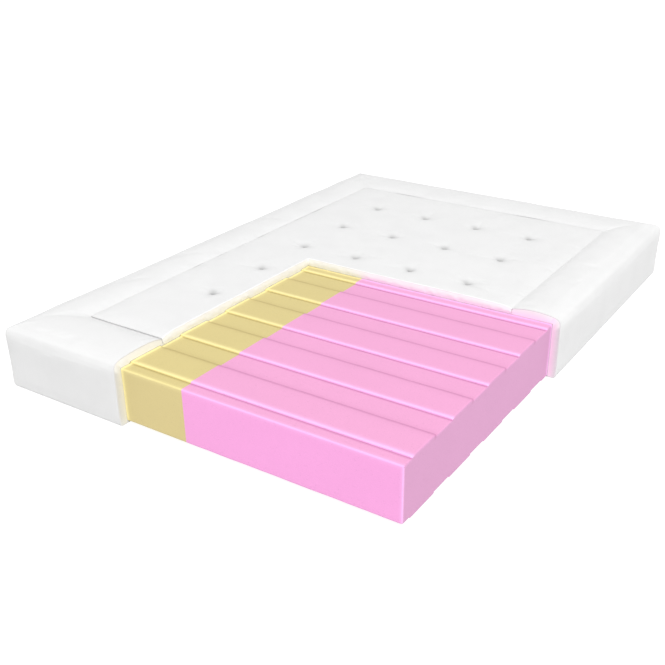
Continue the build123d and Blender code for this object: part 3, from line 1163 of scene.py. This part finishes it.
def makeTufts(thread, felt):
    knotLow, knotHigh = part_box("tuft_knots")
    tieLow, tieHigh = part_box("tuft_ties")
    discLow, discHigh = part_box("tuft_discs")
    radius = (knotHigh.z - knotLow.z) / 2
    middle = (knotHigh.z + knotLow.z) / 2 - tuftLook["knotDrop"]
    rng = np.random.default_rng(5)
    knots, ties, discs = [], [], []
    for x, y in tuftPlaces():
        turn = rng.uniform(-tuftLook["lean"], tuftLook["lean"])
        arm = np.array([math.cos(turn), math.sin(turn), 0.0]) * tuftLook["arm"]
        place = np.array([x, y, middle])
        knots += strands(place - arm, place + arm, (0, 0, 1.0), radius, tuftLook["turns"], 26,
                         tuftLook["bend"])
        # the wrap that ties the bundle down
        angle = np.linspace(0, 2 * math.pi * 2, 36)
        wrap = np.stack([(angle / angle[-1] - 0.5) * tuftLook["wrapWidth"], np.cos(angle) * radius * 0.98,
                         np.sin(angle) * radius * 0.9], axis=1)
        knots.append(sweep(wrap + place, tuftLook["wrapYarn"], 6))
        ties += strands((x, y, tieLow.z + 0.0003), (x, y, tieHigh.z), (1.0, 0, 0), tuftLook["tie"], 2.0, 14)
        discs.append(feltDisc(x, y, discLow.z, discHigh.z, rng))
    makePiece("tuft_knots", *gather(knots), thread, "thread", roundAngle)
    makePiece("tuft_ties", *gather(ties), thread, "thread", roundAngle)
    makePiece("tuft_discs", *gather(discs), felt, "felt", roundAngle)
    print("tufts ready")


def feltDisc(x, y, low, high, rng):
    # turned profile with a soft rim that is not quite round
    rim = tuftLook["disc"]
    thick = high - low
    profile = [(0.0, high), (rim * 0.6, high - 0.00005), (rim * 0.93, high - 0.0001),
               (rim, high - thick * 0.3), (rim, low + thick * 0.3), (rim * 0.94, low),
               (rim * 0.6, low), (0.0, low)]
    sides = 40
    angle = np.linspace(0, 2 * math.pi, sides, endpoint=False)
    wobble = 1 + 0.012 * np.sin(angle * 3 + rng.uniform(0, 6))
    wobble += 0.006 * np.sin(angle * 7 + rng.uniform(0, 6))
    outline = np.stack([wobble * np.cos(angle), wobble * np.sin(angle), np.zeros(sides)], axis=1)
    rings = [np.array([x, y, z]) + outline * r for r, z in profile]
    return np.concatenate(rings), gridFaces(len(profile), sides, closed=True).tolist()


# lining and underside
liningLook = {"step": 0.02, "ripple": 0.0002}


def makeLining(lining, underside):
    # over the core
    low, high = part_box("lining_top")
    xs = linesBetween([low.x, cutX, high.x], liningLook["step"])
    line = foamTopLine()
    edges = line[np.abs(np.gradient(line[:, 1])) > 0.0005, 0]
    near = np.array([-0.009, -0.006, -0.003, 0, 0.003, 0.006, 0.009])
    even = linesBetween([low.y, cutY, high.y], liningLook["step"])
    ys = np.concatenate([even, (edges[:, None] + near).ravel()])
    ys = np.clip(np.unique(np.round(ys, 3)), low.y, high.y)
    ys = np.unique(np.where(np.abs(ys - cutY) < 0.002, cutY, ys))
    gx, gy = np.meshgrid(xs, ys)
    top = np.stack([gx, gy, high.z - 0.0001 + sag(gy)], axis=2)
    bottom = top.copy()
    bottom[..., 2] -= liningThick - 0.0002
    top[..., 2] -= np.abs(softNoise(top, 0.2, 41)) * liningLook["ripple"]
    keep = outsideCut(xs, ys)
    piece = closedSheet("lining_top", top, bottom, keep, lining, "lining")
    areaOf(top, keep)

    # down the core's sides
    for side in ("front", "left", "right", "back"):
        low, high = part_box("lining_" + side)
        alongX = side in ("front", "back")
        if alongX:
            end = high.x - (liningThick if side == "back" else 0)
            lines = linesBetween([low.x + liningThick, end], liningLook["step"])
            outY, inY = (low.y, high.y) if side == "front" else (high.y, low.y)
        else:
            lines = linesBetween([low.y, high.y], liningLook["step"])
            outY, inY = (low.x, high.x) if side == "left" else (high.x, low.x)
        drop = float(sag(low.y)) if side == "front" else 0.0
        heights = linesBetween([low.z + 0.0001, high.z + drop], liningLook["step"])
        u, z = np.meshgrid(lines, heights)
        shift = (inY - outY) * 0.1  # clear of the foam

        def plane(level):
            across = np.full(u.shape, level)
            return np.stack([u, across, z] if alongX else [across, u, z], axis=2)

        outer = plane(outY)
        wave = np.abs(softNoise(outer, 0.2, 43)) * liningLook["ripple"] * np.sign(inY - outY)
        outer[..., 1 if alongX else 0] += wave
        piece = closedSheet("lining_" + side, outer, plane(inY - shift), None, lining, "lining")

    # underside, between the hems
    hem = coverLook["section"][-1][0] * mm + 0.0002
    low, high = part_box("bottom_panel")
    edgeX, edgeY = halfWidth - hem, halfLength - hem
    xs = linesBetween([-edgeX, -edgeX + 0.03, cutX, edgeX - 0.03, edgeX], liningLook["step"] * 0.75)
    ys = linesBetween([-edgeY, -edgeY + 0.03, cutY, edgeY - 0.03, edgeY], liningLook["step"] * 0.75)
    gx, gy = np.meshgrid(xs, ys)
    radius = coverLook["planRadius"] - hem
    dx = np.maximum(np.abs(gx) - (edgeX - radius), 0)
    dy = np.maximum(np.abs(gy) - (edgeY - radius), 0)
    far = np.hypot(dx, dy)
    shrink = np.where((dx > 0) & (dy > 0), np.maximum(dx, dy) / (far + 1e-12), 1.0)
    px = np.sign(gx) * (np.abs(gx) - dx + dx * shrink)
    py = np.sign(gy) * (np.abs(gy) - dy + dy * shrink)
    top = np.stack([px, py, np.full(gx.shape, high.z - 0.0003)], axis=2)
    bottom = top.copy()
    bottom[..., 2] = low.z + np.abs(softNoise(bottom, 0.25, 47)) * 0.0004
    keep = outsideCut(xs, ys)
    piece = closedSheet("bottom_panel", top, bottom, keep, underside, "underside_knit")
    2 * edgeX
    2 * edgeY
    areaOf(top, keep)
    print("lining and underside ready")


def makeFoam(node, material, slot, openEnd):
    # openEnd is 1 if the free end is on the right, -1 on the left; the other end meets its neighbour
    low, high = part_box(node)
    top = foamTopLine()
    middle = low.z + high.z
    under = np.stack([top[::-1, 0], middle - top[::-1, 1]], axis=1)
    sideRows = 16
    heights = (np.arange(sideRows)[:, None] + 1) / (sideRows + 1)
    far = top[-1] * (1 - heights) + under[0] * heights
    near = under[-1] * (1 - heights) + top[0] * heights
    loop = np.vstack([top, far, under, near])
    wrapped = np.vstack([loop[-1:], loop, loop[:1]])
    normal = -lineNormals(wrapped)[1:-1]
    # outward is away from the block's middle; the loop runs over the top first
    normal *= np.sign(normal[:len(top), 1].sum())
    e = foamShape["edgeRound"]
    corner = smoothStep(low.y + 3 * e, low.y, loop[:, 0]) - smoothStep(high.y - 3 * e, high.y, loop[:, 0])
    height = (loop[:, 1] - middle / 2) / (top[:, 1].max() - middle / 2)
    inward = np.stack([corner, -np.sign(height) * smoothStep(0.85, 0.97, np.abs(height))], axis=1)

    stops = [low.x, high.x]
    if low.x < cutX < high.x:
        fine = [cutX + k * foamShape["highlightWidth"] * 0.5 for k in range(-1, 7)]
        stops = [low.x] + fine + [high.x]
    stations = list(linesBetween(stops, foamShape["stepAlong"]))
    bends = [(e * (1 - math.cos(a)), e * (1 - math.sin(a))) for a in np.radians(np.linspace(8, 82, 6))]
    if openEnd > 0:
        kept = [s for s in stations if s < high.x - e * 1.3]
        stations = kept + [high.x - e] + [high.x - back for back, _ in bends[::-1]] + [high.x]
        insets = np.array([0.0] * (len(kept) + 1) + [inward for _, inward in bends[::-1]] + [e])
    else:
        kept = [s for s in stations if s > low.x + e * 1.3]
        stations = [low.x] + [low.x + back for back, _ in bends] + [low.x + e] + kept
        insets = np.array([e] + [inward for _, inward in bends] + [0.0] * (len(kept) + 1))
    stations = np.array(stations)
    grid = np.zeros((len(stations), len(loop), 3))
    grid[..., 0] = stations[:, None]
    section = loop[None] + inward[None] * insets[:, None, None]
    grid[..., 1:] = section
    outward = np.concatenate([np.zeros((len(loop), 1)), normal], axis=1)
    wobble = softNoise(grid, 0.11, 51) * 0.7 + softNoise(grid, 0.03, 52) * 0.3
    meets = low.x if openEnd > 0 else high.x
    wobble *= np.minimum(np.abs(grid[..., 0] - meets) / 0.02, 1)
    grid += outward[None] * (wobble - 0.6)[..., None] * foamShape["uneven"]

    count = len(loop)
    n = len(top)
    faces = gridFaces(len(stations), count, closed=True).tolist()
    points = [grid.reshape(-1, 3)]
    total = len(points[0])
    for row, flip in ((0, False), (len(stations) - 1, True)):
        base = row * count
        upperRow = grid[row, :n]
        lowerRow = grid[row, n + sideRows:2 * n + sideRows][::-1]
        index = np.zeros((sideRows + 2, n), int)
        index[0] = base + np.arange(n)
        index[-1] = base + 2 * n + sideRows - 1 - np.arange(n)
        index[1:-1, -1] = base + n + np.arange(sideRows)
        index[1:-1, 0] = base + count - 1 - np.arange(sideRows)
        inside = np.array([upperRow[1:-1] * (1 - t) + lowerRow[1:-1] * t for t in heights[:, 0]])
        inside[..., 0] += softNoise(inside, 0.09, 53) * foamShape["uneven"] * 0.6 * (openEnd if row else 0)
        index[1:-1, 1:-1] = total + np.arange(inside.shape[0] * inside.shape[1]).reshape(inside.shape[:2])
        total += inside.shape[0] * inside.shape[1]
        points.append(inside.reshape(-1, 3))
        quads = index.reshape(-1)[gridFaces(sideRows + 2, n, flip=flip)]
        faces += quads.tolist()
    piece = makePiece(node, np.concatenate(points), faces, material, slot, roundAngle)

    # painted highlights where the foam's edges would catch the light, and painted shade in the creases at the
    # feet of the pads and behind them
    p = pointsOf(piece)
    g = foamShape["highlightWidth"]
    half = foamShape["pitch"] / 2
    along = p[:, 1] - low.y - foamShape["firstPad"] + half
    ahead = along % foamShape["pitch"] - half      # from the nearest pad's near edge
    behind = (along - foamShape["padWidth"]) % foamShape["pitch"] - half
    upper = p[:, 2] > high.z - foamShape["depth"] * 1.3
    onPad = p[:, 2] > high.z - foamShape["depth"] * 0.8
    lead = np.exp(-(np.clip(ahead - 0.0015, 0, None) / 0.0095) ** 2) * onPad * (ahead > -0.002)
    # painted shade: a thin dark line at the foot of each pad's near step, and a dark band behind each pad
    # where it drops away from the light
    foot = np.exp(-((ahead + 0.0009) / 0.0018) ** 2) * upper * ~onPad
    tail = np.exp(-((behind + 0.001) / 0.0042) ** 2) * 0.85 + np.exp(-(behind / 0.018) ** 2) * 0.20
    tail *= upper * (p[:, 1] > low.y + 0.06)
    setAttribute(piece, "creaseShade", np.clip(foot * 0.9 + tail, 0, 1))
    # painted highlights along the near top edge, the free end, the cut edges and the pads' near edges
    frontEdge = np.exp(-(np.hypot(p[:, 1] - low.y, p[:, 2] - (high.z - foamShape["depth"])) / g) ** 2)
    frontPad = np.exp(-((p[:, 1] - low.y) / (g * 0.8)) ** 2)
    endEdge = np.exp(-((p[:, 0] - high.x) / g) ** 2) * frontPad if openEnd > 0 else 0 * frontPad
    cutEdge = np.exp(-((p[:, 0] - cutX - 0.003) / (g * 1.6)) ** 2) * (p[:, 1] < cutY)
    farEdge = np.exp(-((p[:, 1] - cutY + 0.003) / (g * 1.8)) ** 2) * (p[:, 0] > cutX)
    glow = np.maximum.reduce([frontEdge * 0.8, endEdge, cutEdge, farEdge * 0.8, lead * 0.85])
    setAttribute(piece, "edgeHighlight", np.clip(glow, 0, 1))
    print(node, "ready")


zipLook = {
    "coilPitch": 0.00145,
    "wire": 0.00034,
    "rib": 0.0028,
    "ribHeight": 0.00012,
    "guardEdge": 0.002,
}


def makeZip(tape, lining, nylon, metal):
    for way in ("upper", "lower"):
        low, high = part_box("zip_tape_" + way)
        xs = linesBetween([low.x, high.x], 0.006)
        zs = linesBetween([low.z, high.z], 0.0014)
        gx, gz = np.meshgrid(xs, zs)
        ribs = np.abs(np.sin((gz - low.z) / zipLook["rib"] * math.pi)) * zipLook["ribHeight"]
        front = np.stack([gx, high.y - 0.00016 + ribs, gz], axis=2)
        behind = front.copy()
        behind[..., 1] = low.y + 0.00002
        piece = closedSheet("zip_tape_" + way, behind, front, None, tape, "zip_tape")

        low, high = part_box("zip_coil_" + way)
        wire = zipLook["wire"]
        turns = int((high.x - low.x - 2 * wire) / zipLook["coilPitch"])
        t = np.linspace(0, turns, turns * 9 + 1)
        angle = 2 * math.pi * t
        flip = 1 if way == "upper" else -1
        cy, cz = (low.y + high.y) / 2, (low.z + high.z) / 2
        ry, rz = (high.y - low.y) / 2 - wire, (high.z - low.z) / 2 - wire
        path = np.stack([low.x + wire + t / turns * (high.x - low.x - 2 * wire),
                         cy + ry * np.cos(angle), cz + rz * np.sin(angle) * flip], axis=1)
        makePiece("zip_coil_" + way, *sweep(path, wire, 5), nylon, "zip_coil", paddingAngle)

    low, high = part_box("zip_guard")
    xs = linesBetween([low.x, high.x], 0.012)
    zs = linesBetween([low.z, high.z], 0.003)
    gx, gz = np.meshgrid(xs, zs)
    u = np.clip((gz - low.z) / (high.z - low.z), 0, 1)
    full = np.sqrt(np.clip(1 - (2 * u - 1) ** 4, 0, 1))
    inner = np.stack([gx, np.full(gx.shape, low.y + 0.0001), gz], axis=2)
    outer = inner.copy()
    outer[..., 1] = low.y + zipLook["guardEdge"] + (high.y - low.y - zipLook["guardEdge"] - 0.0002) * full
    outer[..., 1] += softNoise(outer, 0.08, 61) * 0.0002 * full
    closedSheet("zip_guard", inner, outer, None, lining, "lining")

    for name in ("zip_stops", "zip_slider", "zip_pull"):
        materials = bpy.data.objects[name].data.materials
        materials.clear()
        materials.append(metal)
    print("zip ready")


makeCamera()
makeStudio()
print("studio ready")

knit = knitMaterial("coverKnit")
underside = knitMaterial("undersideKnit")
wadding = waddingMaterial()
lining = clothMaterial("lining")
tape = clothMaterial("tape")
felt = clothMaterial("felt")
firmFoam = foamMaterial("firm")
softFoam = foamMaterial("soft")
thread = threadMaterial()
nylon = nylonMaterial()
metal = metalMaterial()
print("materials ready")

makeSides(knit, wadding)
makePanel(knit, wadding)
makeTufts(thread, felt)
makeLining(lining, underside)
makeFoam("foam_core_firm", firmFoam, "foam_firm", -1)
makeFoam("foam_core_soft", softFoam, "foam_soft", 1)
makeZip(tape, lining, nylon, metal)
